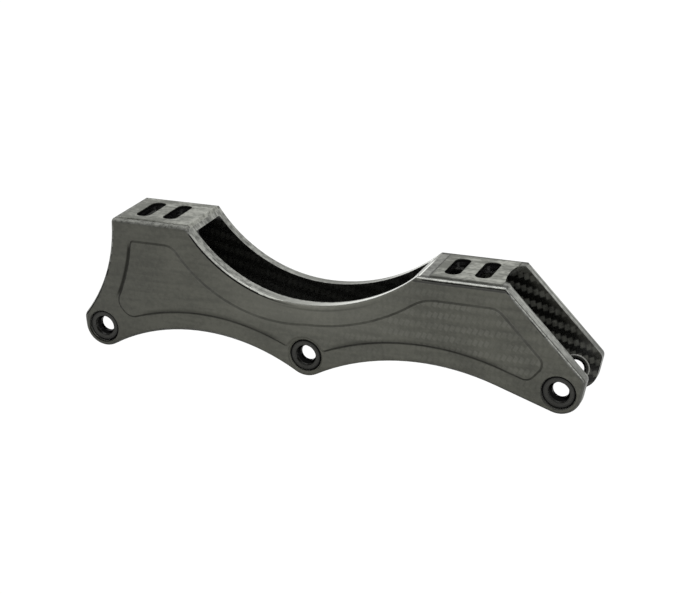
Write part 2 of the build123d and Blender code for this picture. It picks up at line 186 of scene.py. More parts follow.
class Graph:
    """A small helper round one material's node tree; x, y and z are the object coordinates in metres."""

    def __init__(self, name):
        self.material = bpy.data.materials.new(name)
        self.material.use_nodes = True
        self.tree = self.material.node_tree
        self.tree.nodes.clear()
        self.output = self.tree.nodes.new("ShaderNodeOutputMaterial")
        self.shader = self.tree.nodes.new("ShaderNodeBsdfPrincipled")
        self.tree.links.new(self.shader.outputs["BSDF"], self.output.inputs["Surface"])
        place = self.tree.nodes.new("ShaderNodeTexCoord")
        split = self.tree.nodes.new("ShaderNodeSeparateXYZ")
        self.tree.links.new(place.outputs["Object"], split.inputs[0])
        self.x, self.y, self.z = split.outputs

    def put(self, socket, value):
        """Sets a socket to a plain value or links it to another socket."""
        if isinstance(value, bpy.types.NodeSocket):
            self.tree.links.new(value, socket)
        elif value is not None:
            socket.default_value = value

    def set(self, name, value):
        """Sets or links one of the shader's own sockets."""
        self.put(self.shader.inputs[name], value)

    def math(self, operation, a, b=None):
        """One Math node; returns its output."""
        node = self.tree.nodes.new("ShaderNodeMath")
        node.operation = operation
        for socket, value in zip(node.inputs, (a, b)):
            self.put(socket, value)
        return node.outputs[0]

    def chain(self, operation, first, *others):
        """One operation applied to several numbers, one after another."""
        result = first
        for other in others:
            result = self.math(operation, result, other)
        return result

    def plus(self, *parts):
        """The sum of several numbers."""
        return self.chain("ADD", *parts)

    def times(self, *parts):
        """The product of several numbers."""
        return self.chain("MULTIPLY", *parts)

    def largest(self, *parts):
        """The largest of several numbers."""
        return self.chain("MAXIMUM", *parts)

    def minus(self, a, b):
        """The first number less the second."""
        return self.math("SUBTRACT", a, b)

    def above(self, a, b):
        """1 where the first number is larger, else 0."""
        return self.math("GREATER_THAN", a, b)

    def below(self, a, b):
        """1 where the first number is smaller, else 0."""
        return self.math("LESS_THAN", a, b)

    def size(self, value):
        """A number without its sign."""
        return self.math("ABSOLUTE", value)

    def distance(self, a, b):
        """The distance from the origin of a point with two coordinates."""
        return self.math("SQRT", self.plus(self.times(a, a), self.times(b, b)))

    def vector(self, x, y, z):
        """A vector made of three numbers or sockets."""
        node = self.tree.nodes.new("ShaderNodeCombineXYZ")
        for socket, value in zip(node.inputs, (x, y, z)):
            self.put(socket, value)
        return node.outputs[0]

    def noise(self, vector, scale, detail, roughness=0.5):
        """Smooth noise between 0 and 1, with about scale waves to the metre."""
        node = self.tree.nodes.new("ShaderNodeTexNoise")
        self.put(node.inputs["Vector"], vector)
        self.put(node.inputs["Scale"], scale)
        self.put(node.inputs["Detail"], detail)
        self.put(node.inputs["Roughness"], roughness)
        return node.outputs[0]

    def spots(self, *settings):
        """Noise that is the same in all directions."""
        return self.noise(self.vector(self.x, self.y, self.z), *settings)

    def streaks(self, *settings):
        """Noise drawn out along the frame."""
        return self.noise(self.vector(self.times(self.x, MARK_STRETCH), self.y, self.z), *settings)

    def ramp(self, value, low, high, start=0.0, end=1.0):
        """Maps value from low..high to start..end along a smooth step, clamped."""
        node = self.tree.nodes.new("ShaderNodeMapRange")
        node.interpolation_type = "SMOOTHSTEP"
        for socket, item in zip(node.inputs, (value, low, high, start, end)):
            self.put(socket, item)
        return node.outputs[0]

    def band(self, value, low, high, soft):
        """1 where value lies between low and high, 0 outside, with soft ends."""
        rise = self.ramp(value, low - soft, low + soft)
        fall = self.ramp(value, high - soft, high + soft, 1.0, 0.0)
        return self.times(rise, fall)

    def mix(self, factor, a, b):
        """A colour between two colours."""
        node = self.tree.nodes.new("ShaderNodeMix")
        node.data_type = "RGBA"
        node.clamp_factor = True
        self.put(node.inputs[0], factor)
        for socket, value in ((node.inputs[6], a), (node.inputs[7], b)):
            if isinstance(value, tuple):
                value = (*value, 1.0)
            self.put(socket, value)
        return node.outputs[2]

    def blend(self, factor, a, b):
        """A number between two numbers."""
        node = self.tree.nodes.new("ShaderNodeMix")
        node.data_type = "FLOAT"
        node.clamp_factor = True
        self.put(node.inputs[0], factor)
        self.put(node.inputs[2], a)
        self.put(node.inputs[3], b)
        return node.outputs[0]

    def bump(self, height, distance, strength=0.5):
        """A bump from a height in 0..1 that stands for distance in metres."""
        node = self.tree.nodes.new("ShaderNodeBump")
        self.put(node.inputs["Height"], height)
        self.put(node.inputs["Distance"], distance)
        self.put(node.inputs["Strength"], strength)
        return node.outputs[0]

    def facing(self):
        """The three parts of the direction that the surface faces."""
        geometry = self.tree.nodes.new("ShaderNodeNewGeometry")
        split = self.tree.nodes.new("ShaderNodeSeparateXYZ")
        self.tree.links.new(geometry.outputs["Normal"], split.inputs[0])
        return split.outputs[0], split.outputs[1], split.outputs[2]

    def twill(self, pitch, lean, mirrored=False, slant=1.0):
        """A 2 by 2 twill laid over a wall and round its upper edge, its rows leaning down towards the toe.

        With a slant of 1 its tows lie at 45 degrees to the rows, with less the shown ones stand steeper.
        Returns which tow lies on top (0 or 1), how far a point is from that tow's middle (0 to 1), and
        how far it is from the middle of the float (0 to 1)."""
        up = self.minus(self.z, self.size(self.y))
        cosine, sine = math.cos(lean), math.sin(lean)
        along = self.minus(self.times(self.x, cosine), self.times(up, sine))
        rise = self.plus(self.times(self.x, sine), self.times(up, cosine))
        if mirrored:
            along = self.times(along, -1.0)
        tows_per_metre = 1.0 / (pitch * math.sqrt(2.0))
        a = self.times(self.plus(along, self.times(rise, 2.0 - slant)), tows_per_metre)
        b = self.times(self.minus(along, self.times(rise, slant)), tows_per_metre)
        column, row = self.math("FLOOR", a), self.math("FLOOR", b)
        step = self.math("FLOORED_MODULO", self.minus(column, row), 4.0)
        warp = self.below(step, 1.5)
        part_a, part_b = self.math("FRACT", a), self.math("FRACT", b)
        edge_a = self.size(self.minus(self.times(part_a, 2.0), 1.0))
        edge_b = self.size(self.minus(self.times(part_b, 2.0), 1.0))
        across = self.blend(warp, edge_a, edge_b)
        first = self.below(self.math("FLOORED_MODULO", step, 2.0), 0.5)
        from_a = self.blend(first, part_a, self.minus(1.0, part_a))
        from_b = self.blend(first, self.minus(1.0, part_b), part_b)
        floating = self.blend(warp, from_b, from_a)
        return warp, across, floating


def below_top(g):
    """How far a point lies below the mount plate on its side of the middle axle."""
    return g.minus(g.blend(g.above(g.x, MIDDLE_AXLE), REAR_TOP, FRONT_TOP), g.z)


def inside_wall(g):
    """How far a point lies inside the walls' outer faces."""
    return g.minus(HALF_WIDTH, g.size(g.y))


def from_axle(g):
    """How far a point lies from the nearest axle line."""
    middle = g.size(g.minus(g.x, MIDDLE_AXLE))
    ahead = g.size(g.minus(g.x, WHEELBASE))
    return g.distance(g.chain("MINIMUM", g.size(g.x), middle, ahead), g.z)


def from_arc(g, centre, radius):
    """How far a point lies outside an arc of the side view."""
    return g.minus(g.distance(g.minus(g.x, centre[0]), g.minus(g.z, centre[1])), radius)


# Depth below the plates' tops over which the slots' walls turn to painted shade
SLOT_FADE = mm(0.15, 0.45)


def in_slot(g):
    """1 on the walls of the mounting slots, which carry painted shade, 0 on the faces round them."""
    inside = g.below(g.size(g.y), SLOT_REACH_ACROSS)
    behind = g.below(g.size(g.minus(g.x, REAR_SLOTS)), SLOT_REACH_ALONG)
    ahead = g.below(g.size(g.minus(g.x, FRONT_SLOTS)), SLOT_REACH_ALONG)
    return g.times(inside, g.largest(behind, ahead), g.ramp(below_top(g), *SLOT_FADE))


# Joints round the mount plates: where their dark lines lie, and how strong each one is
JOINT_SOFT = 0.14 * MM
REAR_JOINT, REAR_JOINT_STRENGTH = span_at(REAR_PLATE_SIDE, 0.05, 0.4), 0.55
SIDE_JOINT, SIDE_JOINT_STRENGTH = span_at(FRONT_PLATE_SIDE, -1.2, 1.15), 0.64
START_JOINT, START_JOINT_STRENGTH = span_at(FRONT_PLATE_START, -0.95, 0.05), 0.6
START_JOINT_REACH = FRONT_PLATE_SIDE + 0.3 * MM
JOINT_FADE = mm(1.3, 0.9)

# Painted highlight on the edge where the front platform meets the arch, weaker on the left of the frame
CREST, CREST_SOFT = span_at(FRONT_PLATFORM_START, -0.6, 0.2), 0.15 * MM
CREST_ACROSS, CREST_LEFT = mm(9.0, 1.0), 0.15
CREST_FADE = mm(2.2, 1.2)


def plate_lines(g):
    """Where the platforms' tops show a dark joint round the plates, and a painted highlight on the edge over
    the arch.
    """
    side = g.size(g.y)
    drop = below_top(g)
    rear = g.times(g.band(side, *REAR_JOINT, JOINT_SOFT), REAR_JOINT_STRENGTH)
    rear = g.times(rear, g.below(g.x, REAR_PLATFORM_END))
    beside = g.times(g.band(side, *SIDE_JOINT, 2.0 * JOINT_SOFT), SIDE_JOINT_STRENGTH)
    start = g.times(g.band(g.x, *START_JOINT, JOINT_SOFT), START_JOINT_STRENGTH)
    start = g.times(start, g.below(side, START_JOINT_REACH))
    front = g.times(g.largest(beside, start), g.above(g.x, FRONT_PLATFORM_START))
    dark = g.times(g.largest(rear, front), g.ramp(drop, *JOINT_FADE))
    crest = g.times(g.band(g.x, *CREST, CREST_SOFT), g.below(side, FRONT_PLATE_SIDE))
    crest = g.times(crest, g.ramp(g.y, *CREST_ACROSS, CREST_LEFT, 1.0))
    return dark, g.times(crest, g.ramp(drop, *CREST_FADE))


def set_colour(g, colour):
    """Sets the colour, with the plates' joint lines, the painted highlight over the arch and the painted
    shade in the slots over it; returns where joints and slots are.
    """
    joint, crest = plate_lines(g)
    slots = in_slot(g)
    colour = g.mix(crest, g.mix(joint, colour, JOINT_DARK), CREST_HIGHLIGHT)
    g.set("Base Color", g.mix(slots, colour, SLOT_SHADE))
    return joint, slots


# Front half of the upper arch, and where its bright line, a painted highlight, begins inside the wall's
# outer face
ARCH_START = mm(88.0, 116.0)
ARCH_END = FRONT_PLATFORM_START + 2.0 * MM
BRIGHT_LINE_SPAN = mm(118.0, 168.0)
BRIGHT_LINE_START = mm(1.4, 2.5)


def front_of_arch(g):
    """1 on the front half of the upper arch, 0 behind the middle axle and under the front platform."""
    return g.times(g.ramp(g.x, *ARCH_START), g.below(g.x, ARCH_END))


def bright_line_start(g):
    """How deep inside the wall's outer face the bright line, a painted highlight, along the arch's front
    half begins.
    """
    return g.ramp(g.x, *BRIGHT_LINE_SPAN, *BRIGHT_LINE_START)


# Painted soft shades on the raised panels, behind the heel edge and above the arches between the axles
HEEL_SHADE, HEEL_SHADE_SOFT = span_at(PANEL_HEEL_MARGIN, -1.2, 0.5), 0.5 * MM
HEEL_SHADE_HEIGHTS, HEEL_SHADE_ENDS = mm(19.0, 47.0), 2.5 * MM
HEEL_SHADE_REACH = 40.0 * MM
LOWER_SHADE_START, LOWER_SHADE_END = mm(-0.6, 0.1), mm(3.4, 0.8)
REAR_SHADE_SPAN, FRONT_SHADE_SPAN, LOWER_SHADE_ENDS = mm(26.0, 101.0), mm(129.0, 218.0), 5.0 * MM


def heel_contour(g):
    """A soft painted shade where the raised panel begins, an arc round the heel edge's own centre."""
    line = g.band(from_arc(g, HEEL_EDGE_CENTRE, HEEL_EDGE_RADIUS), *HEEL_SHADE, HEEL_SHADE_SOFT)
    heights = g.band(g.z, *HEEL_SHADE_HEIGHTS, HEEL_SHADE_ENDS)
    return g.times(line, heights, g.below(g.x, HEEL_SHADE_REACH))


def lower_contour(g):
    """A soft painted shade inside the raised panel's lower edge, which follows the two arches between the
    axles.
    """
    rear, front = from_arc(g, *REAR_UNDER_ARCH), from_arc(g, *FRONT_UNDER_ARCH)
    inside = g.minus(g.blend(g.above(g.x, MIDDLE_AXLE), rear, front), PANEL_MARGIN)
    shade = g.times(g.ramp(inside, *LOWER_SHADE_START), g.ramp(inside, *LOWER_SHADE_END))
    rear_span = g.band(g.x, *REAR_SHADE_SPAN, LOWER_SHADE_ENDS)
    front_span = g.band(g.x, *FRONT_SHADE_SPAN, LOWER_SHADE_ENDS)
    return g.times(shade, g.largest(rear_span, front_span))


def cut_tone(g, spots):
    """Grey of a milled edge: its mottling, and fine layers that run along the wall."""
    along, up = g.times(g.x, LAYERS_ALONG_WALL), g.times(g.z, LAYERS_ALONG_WALL)
    across = g.times(g.size(g.y), LAYERS_ACROSS_WALL)
    layers = g.noise(g.vector(along, across, up), *CUT_LAYERS)
    return g.plus(g.times(layers, 0.5), g.times(spots, 0.5))


# Outer cloth: stretches along the frame and up it for its painted shade at the heel, painted sheen and
# painted highlights on the tows, and the raised panels' faces
FRONT_HALF = mm(95.0, 135.0)
HEEL_DARK_SPAN, HEEL_DARKNESS = mm(60.0, -15.0), 0.24
SHEEN_RISE, SHEEN_FALL = mm(50.0, 100.0), mm(190.0, 125.0)
SHEEN_HEIGHTS, SHEEN_STRENGTHS = mm(10.0, 22.0), (0.04, 0.16)
TOWS_SPAN, TOWS_STRENGTHS = mm(90.0, 180.0), (0.05, 0.36)
PANEL_FACE = span_at(-PANEL_RAISE, 0.2, 0.05)


def cloth_colour(g, depth, mottle, broken, warp, across):
    """Dark twill in clear resin: cloudy, darker at the heel from painted shade, with a painted sheen in the
    middle and painted highlights on the tows.
    """
    clouds, streaks = g.spots(*CLOTH_CLOUDS), g.streaks(*CLOTH_STREAKS)
    tone = g.plus(g.times(clouds, 0.35), g.times(streaks, 0.3), g.times(mottle, 0.35))
    cloth = g.mix(g.ramp(tone, *CLOTH_SPREAD), CLOTH_DARK, CLOTH_LIGHT)
    # Painted shade, darkening the cloth towards the heel
    cloth = g.mix(g.ramp(g.x, *HEEL_DARK_SPAN, 0.0, HEEL_DARKNESS), cloth, CLOTH_SHADE)
    # Painted sheen across the middle of the walls, stronger higher up
    sheen = g.times(g.ramp(g.x, *SHEEN_RISE), g.ramp(g.x, *SHEEN_FALL))
    sheen = g.times(sheen, g.ramp(g.z, *SHEEN_HEIGHTS, *SHEEN_STRENGTHS))
    cloth = g.mix(sheen, cloth, CLOTH_PAINTED_SHEEN)
    # Painted highlights on the tows, stronger towards the toe and on the raised panels
    on_panel = g.ramp(depth, *PANEL_FACE)
    shown = g.times(g.blend(on_panel, 0.5, 1.0), g.ramp(g.x, *TOWS_SPAN, *TOWS_STRENGTHS))
    shown = g.times(shown, g.ramp(broken, 0.35, 0.65, 0.35, 1.0))
    return g.mix(g.times(warp, g.ramp(across, 1.0, 0.5), shown), cloth, TOW_PAINTED_HIGHLIGHT)


# Ramp of the raised panels, and the axles' surroundings where its line is weaker
RAMP_START, RAMP_END = mm(0.0, -0.06), span_at(-PANEL_RAISE, 0.0, 0.06)
NEAR_AXLE, NEAR_AXLE_STRENGTH = mm(11.0, 11.6), 0.3


def panel_groove(g, depth, broken, facing):
    """The dark line on the raised panel's ramp: partly a real resin line, partly painted shade, stronger
    where the ramp turns from the toe and the top, away from the light.
    """
    slope = g.times(g.ramp(depth, *RAMP_START), g.ramp(depth, *RAMP_END))
    # Painted shade: stronger where the ramp faces the heel and faces down
    away_from_light = g.plus(g.times(facing[0], -1.5), g.times(facing[2], -1.3))
    strength = g.times(g.ramp(away_from_light, -0.7, 0.35, 0.5, 0.74), g.ramp(broken, 0.3, 0.6, 0.7, 1.0))
    near = g.ramp(from_axle(g), *NEAR_AXLE, NEAR_AXLE_STRENGTH, 1.0)
    return g.times(slope, strength, near)


# Dark lines along the walls' edges, measured inside the outer face
EDGE_LINE_START, EDGE_LINE_END = mm(0.0, 0.05), mm(0.08, 0.0)
REAR_LINE_WIDTH, FRONT_LINE_WIDTH = mm(0.34, 0.16)
TOP_LINE, TOP_LINE_SOFT = mm(0.05, 0.38), 0.05 * MM

# Painted shadow under the arch's upper edge, measured outside the arch's own arc and inside the face
ARCH_CONTOUR, ARCH_CONTOUR_SOFT = mm(1.75, 2.6), 0.35 * MM
ARCH_CONTOUR_DEPTH = mm(0.4, 0.2)
ARCH_CONTOUR_SPAN, ARCH_CONTOUR_STRENGTHS = mm(160.0, 130.0), (0.05, 0.3)


def edge_lines(g, depth, broken, up, front, flank, on_front, front_arch):
    """Dark lines between the cloth and the worn edges, and a painted shadow along the arch's front half."""
    past_line = g.minus(depth, g.blend(front, REAR_LINE_WIDTH, FRONT_LINE_WIDTH))
    line = g.times(g.ramp(depth, *EDGE_LINE_START), g.ramp(past_line, *EDGE_LINE_END))
    line = g.times(line, g.blend(front, 1.0, g.ramp(broken, 0.4, 0.6, 0.15, 0.8)))
    line = g.times(line, g.ramp(up, 0.04, 0.2), g.blend(flank, 0.3, 1.0))
    top_line = g.times(g.band(depth, *TOP_LINE, TOP_LINE_SOFT), on_front, 0.95)
    line = g.times(g.largest(line, top_line), g.minus(1.0, front_arch))
    # Painted shadow just under the arch's upper edge
    contour_shade = g.band(from_arc(g, *UPPER_ARCH), *ARCH_CONTOUR, ARCH_CONTOUR_SOFT)
    contour_shade = g.times(contour_shade, g.ramp(depth, *ARCH_CONTOUR_DEPTH), front_arch)
    contour_shade = g.times(contour_shade, g.ramp(g.x, *ARCH_CONTOUR_SPAN, *ARCH_CONTOUR_STRENGTHS))
    return g.largest(line, contour_shade)


# Painted highlight on the worn strip inside the edge line: its start and its width on each stretch of the
# edge
SHINE_RISE, SHINE_FALL = mm(0.0, 0.16), mm(0.25, 0.0)
SIDE_SHINE_START, TOP_SHINE_START, ARCH_SHINE_SHIFT = mm(0.22, 0.38, 0.7)
SHINE_WIDTH, TOE_SHINE_WIDTH, ARCH_SHINE_WIDER = mm(1.2, 0.42, 2.0)
TOP_SHINE_NARROWER = -0.35 * MM
SHINE_SPAN, REAR_SHINE = mm(58.0, 85.0), 0.25

# Toe slope and nose: where the worn edge turns darker, and the dark line at the skin's inner side
TOE_SPAN = span_at(TOE_EDGE, -1.0, 4.0)
NOSE_HEIGHTS = mm(24.0, 8.0)
SKIN_PLY, SKIN_PLY_SOFT = mm(0.65, 0.9), 0.12 * MM

# Shade on the walls of the round seats
SEAT_FADE = span_at(SEAT_REACH, 0.0, -0.2)


def edge_highlight(g, depth, mottle, toe, flank, on_rear, on_front, front_arch):
    """How strong the painted highlight on the worn strip inside the edge line is."""
    past_start = g.minus(depth, g.blend(on_front, SIDE_SHINE_START, TOP_SHINE_START))
    past_start = g.minus(past_start, g.times(front_arch, ARCH_SHINE_SHIFT))
    past_end = g.minus(depth, g.blend(toe, SHINE_WIDTH, TOE_SHINE_WIDTH))
    past_end = g.minus(past_end, g.blend(flank, TOP_SHINE_NARROWER, 0.0))
    past_end = g.minus(past_end, g.times(front_arch, ARCH_SHINE_WIDER))
    shine = g.times(g.ramp(past_start, *SHINE_RISE), g.ramp(past_end, *SHINE_FALL))
    worn = g.ramp(mottle, 0.3, 0.6, 0.6, 1.0)
    flecked = g.ramp(g.spots(*EDGE_FLECKS), 0.4, 0.6, 0.15, 0.8)
    shine = g.times(shine, g.blend(toe, worn, flecked), g.ramp(g.x, *SHINE_SPAN, REAR_SHINE, 1.0))
    return g.times(shine, g.blend(on_rear, 1.0, 0.12), g.blend(on_front, 1.0, 0.72))


def sanded_colour(g, depth, mottle, facing, flank, on_rear, on_front, front_arch):
    """The walls' worn edges: grey with a painted highlight strip, darker at the nose and the heel, and with
    painted shade on the underside.
    """
    toe = g.ramp(g.x, *TOE_SPAN)
    worn = g.plus(g.times(cut_tone(g, g.spots(*CUT_SPOTS)), 0.4), g.times(mottle, 0.6))
    sanded = g.mix(g.ramp(worn, *CLOTH_SPREAD), CUT_DARK, CUT_LIGHT)
    sanded = g.mix(g.times(toe, g.ramp(g.z, *NOSE_HEIGHTS, 0.45, 0.75)), sanded, WORN_NOSE)
    sanded = g.mix(g.times(on_rear, 0.5), sanded, WORN_HEEL)
    sanded = g.mix(g.times(on_front, g.ramp(facing[2], 0.9, 0.98, 0.0, 0.5)), sanded, WORN_TOP)
    # Painted highlight along the worn strip
    shine = edge_highlight(g, depth, mottle, toe, flank, on_rear, on_front, front_arch)
    sanded = g.mix(shine, sanded, EDGE_HIGHLIGHT)
    skin_ply = g.times(g.band(depth, *SKIN_PLY, SKIN_PLY_SOFT), toe, 0.7)
    sanded = g.mix(skin_ply, sanded, SKIN_PLY_DARK)
    # Painted shade on the worn edges where they face down
    rounded = g.minus(facing[2], g.times(g.size(facing[0]), 0.35))
    sanded = g.mix(g.ramp(rounded, -0.02, -0.14, 0.0, 0.9), sanded, UNDERSIDE_SHADE)
    return g.mix(g.ramp(from_axle(g), *SEAT_FADE, 0.0, 0.75), sanded, SEAT_WALL)


# Outer cloth: the shade under the platforms' edges, the flanks below them, and where the edges begin
UNDER_TOP, UNDER_TOP_SOFT = mm(1.9, 2.9), 0.3 * MM
FLANK_FADE, ARCH_FADE = mm(3.0, 4.5), mm(0.8, 1.6)
EDGE_FADE, LEFT_ARCH_FADE = mm(0.01, 0.10), mm(0.02, 0.3)


def outer_cloth():
    """Matt dark twill on the walls with painted sheen and shade, paler sanded edges with a painted
    highlight, and dark lines round the panels and the edges, with painted shade round the panels and under
    the arch's edge.
    """
    g = Graph("outer_laminate")
    grain = g.spots(*CLOTH_GRAIN)
    mottle = g.spots(*CLOTH_MOTTLE)
    broken = g.spots(*CLOTH_BREAKS)
    warp, across = g.twill(OUTER_TOW, 0.0, slant=0.5)[:2]
    facing = g.facing()
    depth = inside_wall(g)
    drop = below_top(g)

    front = g.ramp(g.x, *FRONT_HALF)
    flank = g.ramp(drop, *FLANK_FADE)
    front_arch = g.times(front_of_arch(g), g.ramp(drop, *ARCH_FADE))
    on_top = g.minus(1.0, flank)
    on_rear = g.times(on_top, g.minus(1.0, front))
    on_front = g.times(on_top, front, g.minus(1.0, front_arch))

    cloth = cloth_colour(g, depth, mottle, broken, warp, across)
    # Dark line on the panels' ramps, partly painted shade
    groove_and_shade = panel_groove(g, depth, broken, facing)
    cloth = g.mix(groove_and_shade, cloth, GROOVE_AND_SHADE_DARK)
    # Painted shade along the raised panels' heel and lower edges
    contour_shade = g.largest(g.times(heel_contour(g), 0.84), g.times(lower_contour(g), 0.5))
    cloth = g.mix(contour_shade, cloth, CONTOUR_SHADE)
    under = g.times(g.band(drop, *UNDER_TOP, UNDER_TOP_SOFT), g.blend(front, 0.15, 0.85))
    cloth = g.mix(under, cloth, CLOTH_SHADE)

    edge_start = g.times(front_arch, bright_line_start(g))
    edge = g.ramp(g.minus(depth, edge_start), *EDGE_FADE)
    sanded = sanded_colour(g, depth, mottle, facing, flank, on_rear, on_front, front_arch)
    # Dark edge lines, together with the painted shadow under the arch's edge
    line = edge_lines(g, depth, broken, facing[2], front, flank, on_front, front_arch)
    joint, slots = set_colour(g, g.mix(line, g.mix(edge, cloth, sanded), LINE_AND_SHADOW_DARK))

    left_arch = g.times(g.ramp(depth, *LEFT_ARCH_FADE), front_arch, 0.75, g.above(g.y, 0.0))
    shaded_cloth = g.times(contour_shade, g.minus(1.0, edge))
    quiet = g.largest(line, groove_and_shade, joint, slots, shaded_cloth, left_arch)
    g.set("Specular IOR Level", g.blend(quiet, PLAIN_SPECULAR, LINE_SPECULAR))
    cloth_roughness = g.ramp(grain, *NOISE_SPREAD, *CLOTH_ROUGHNESS)
    edge_roughness = g.ramp(mottle, *NOISE_SPREAD, *EDGE_ROUGHNESS)
    g.set("Roughness", g.blend(edge, cloth_roughness, edge_roughness))
    tow_height = g.times(g.minus(1.0, g.times(across, across)), 0.35)
    height = g.plus(tow_height, g.times(g.plus(grain, mottle), 0.3))
    g.set("Normal", g.bump(height, 0.03 * MM))
    return g.material


# Inner cloth: painted highlights on tows towards the toe, cloth rubbed pale at the toe slope, the wheel's
# scoop and cut ends
LIT_SPAN = mm(150.0, 215.0)
RUBBED_WIDTH = mm(5.0, 0.5)
SCOOP_FADE, SCOOP_SPAN = mm(4.6, 3.4), mm(204.0, 210.0)
WALL_EDGE_FADE = span_at(CHANNEL_HALF_WIDTH, 0.02, 0.12)
CUT_END_REACH = 6.0 * MM
CUT_END_FADE = span_at(PLATFORM_THICKNESS, -0.02, -0.12)


def inner_cloth():
    """Glossy twill inside the channel: painted highlights on rows of tows, fading to a painted shade of near
    black behind the toe.
    """
    g = Graph("inner_laminate")
    grain = g.spots(*GLOSS_GRAIN)
    clouds = g.spots(*GLOSS_CLOUDS)
    drop = below_top(g)

    warp, across, floating = g.twill(INNER_TOW, INNER_LEAN, mirrored=True, slant=0.5)
    # Painted highlights on the tows, fading out towards the heel
    shine = g.times(warp, g.ramp(across, 1.0, 0.5, 0.5, 1.0), g.ramp(floating, 1.0, 0.65, 0.15, 1.0))
    shine = g.times(shine, g.ramp(clouds, *NOISE_SPREAD, 0.35, 1.15), g.ramp(g.x, *LIT_SPAN, 0.10, 1.0))
    cloth = g.mix(shine, GLOSS_DARK, GLOSS_HIGHLIGHT)
    toeward = g.times(g.minus(g.x, TOE_EDGE), SLOPE_FACES[0])
    upward = g.times(g.minus(g.z, FRONT_TOP), SLOPE_FACES[1])
    behind_slope = g.times(g.plus(toeward, upward), -1.0)
    rubbed = g.ramp(behind_slope, *RUBBED_WIDTH, 0.0, 0.55)
    rubbed = g.times(rubbed, g.ramp(clouds, *NOISE_SPREAD, 0.5, 1.0))
    cloth = g.mix(rubbed, cloth, GLOSS_RUBBED)
    scoop = g.times(g.ramp(drop, *SCOOP_FADE), g.ramp(g.x, *SCOOP_SPAN))
    cloth = g.mix(scoop, cloth, SCOOP_GREY)

    cut = g.mix(g.ramp(cut_tone(g, g.spots(*CUT_SPOTS)), *CUT_SPREAD), CUT_DARK, CUT_LIGHT)
    wall_edge = g.ramp(g.size(g.y), *WALL_EDGE_FADE)
    platform_end = g.below(g.size(g.minus(g.x, REAR_PLATFORM_END)), CUT_END_REACH)
    platform_end = g.times(platform_end, g.ramp(drop, *CUT_END_FADE))
    set_colour(g, g.mix(g.largest(wall_edge, platform_end), cloth, cut))

    g.set("Roughness", g.ramp(grain, *NOISE_SPREAD, *GLOSS_ROUGHNESS))
    g.set("Specular IOR Level", 0.35)
    g.set("Coat Weight", 0.2)
    g.set("Coat Roughness", 0.12)
    g.set("Normal", g.bump(g.minus(1.0, g.times(across, across)), 0.04 * MM))
    return g.material


# Cut edges of the rims and bridges: the toe slope, its dark ply, and the strips along the upper arch, with a
# painted highlight on them
SLOPE_SPAN = span_at(TOE_EDGE, 0.0, 4.0)
SLOPE_PLY, SLOPE_PLY_SOFT = mm(2.5, 3.4), 0.3 * MM
STRIP_FADE, BRIDGE_STRIP_DROP = mm(0.6, 1.0), 1.3 * MM
STRIP_SHINE_SPAN, STRIP_COLOUR_SPAN = mm(100.0, 135.0), mm(110.0, 154.0)
DULL_SPAN, DULL_DEPTH = mm(165.0, 140.0), mm(5.5, 2.2)


def cut_laminate():
    """Milled edge of the laminate: fine layers side by side across the wall, and a painted highlight on the
    strips along the upper arch.
    """
    g = Graph("cut_laminate")
    up = g.facing()[2]
    depth = inside_wall(g)
    spots = g.spots(*CUT_SPOTS)
    contrast = g.ramp(up, 0.9, 0.98, 1.0, 0.35)
    tone = g.plus(g.times(g.minus(cut_tone(g, spots), 0.5), contrast), 0.49)
    colour = g.mix(g.ramp(tone, *CUT_SPREAD), CUT_DARK, CUT_LIGHT)

    slope = g.ramp(g.x, *SLOPE_SPAN)
    colour = g.mix(g.times(slope, 0.22), colour, TOE_PALE)
    colour = g.mix(g.times(slope, g.ramp(g.z, *NOSE_HEIGHTS, 0.0, 0.6)), colour, WORN_NOSE)
    ply = g.band(g.minus(HALF_WIDTH, g.y), *SLOPE_PLY, SLOPE_PLY_SOFT)
    colour = g.mix(g.times(slope, g.above(g.y, 0.0), ply, 0.7), colour, PLY_DARK)

    between_walls = g.below(g.size(g.y), CHANNEL_HALF_WIDTH)
    drop = g.minus(below_top(g), g.times(between_walls, BRIDGE_STRIP_DROP))
    strip = g.times(front_of_arch(g), g.ramp(drop, *STRIP_FADE))
    # Painted highlight on the arch's strips where they face up, whiter towards the toe
    strip_colour = g.mix(g.ramp(g.x, *STRIP_COLOUR_SPAN), ARCH_GREY, ARCH_HIGHLIGHT)
    shine = g.times(strip, g.ramp(up, 0.4, 0.6), g.ramp(g.x, *STRIP_SHINE_SPAN, 0.6, 1.0))
    colour = g.mix(shine, colour, strip_colour)
    dull = g.times(g.above(g.y, CHANNEL_HALF_WIDTH), g.ramp(g.x, *DULL_SPAN), strip)
    dull = g.times(dull, g.ramp(depth, *DULL_DEPTH, 0.55, 0.85))
    colour = g.mix(dull, colour, ARCH_DULL)
    covered = g.below(depth, bright_line_start(g))
    colour = g.mix(g.times(strip, covered), colour, CLOTH_EDGE)

    joint = set_colour(g, colour)[0]
    quiet = g.largest(joint, g.times(dull, 0.7))
    g.set("Specular IOR Level", g.blend(quiet, PLAIN_SPECULAR, LINE_SPECULAR))
    g.set("Roughness", g.ramp(spots, *NOISE_SPREAD, *CUT_ROUGHNESS))
    g.set("Normal", g.bump(tone, 0.05 * MM))
    return g.material


# Mount plates: darker at their heel ends, a little paler at the rear plate's toe end
REAR_PLATE_DARK = mm(40.0, 12.0)
FRONT_PLATE_DARK, FRONT_PLATE_DARK_SOFT = mm(165.0, 188.0), 8.0 * MM
REAR_PLATE_PALE, REAR_PLATE_PALE_SOFT = mm(38.0, 60.0), 6.0 * MM


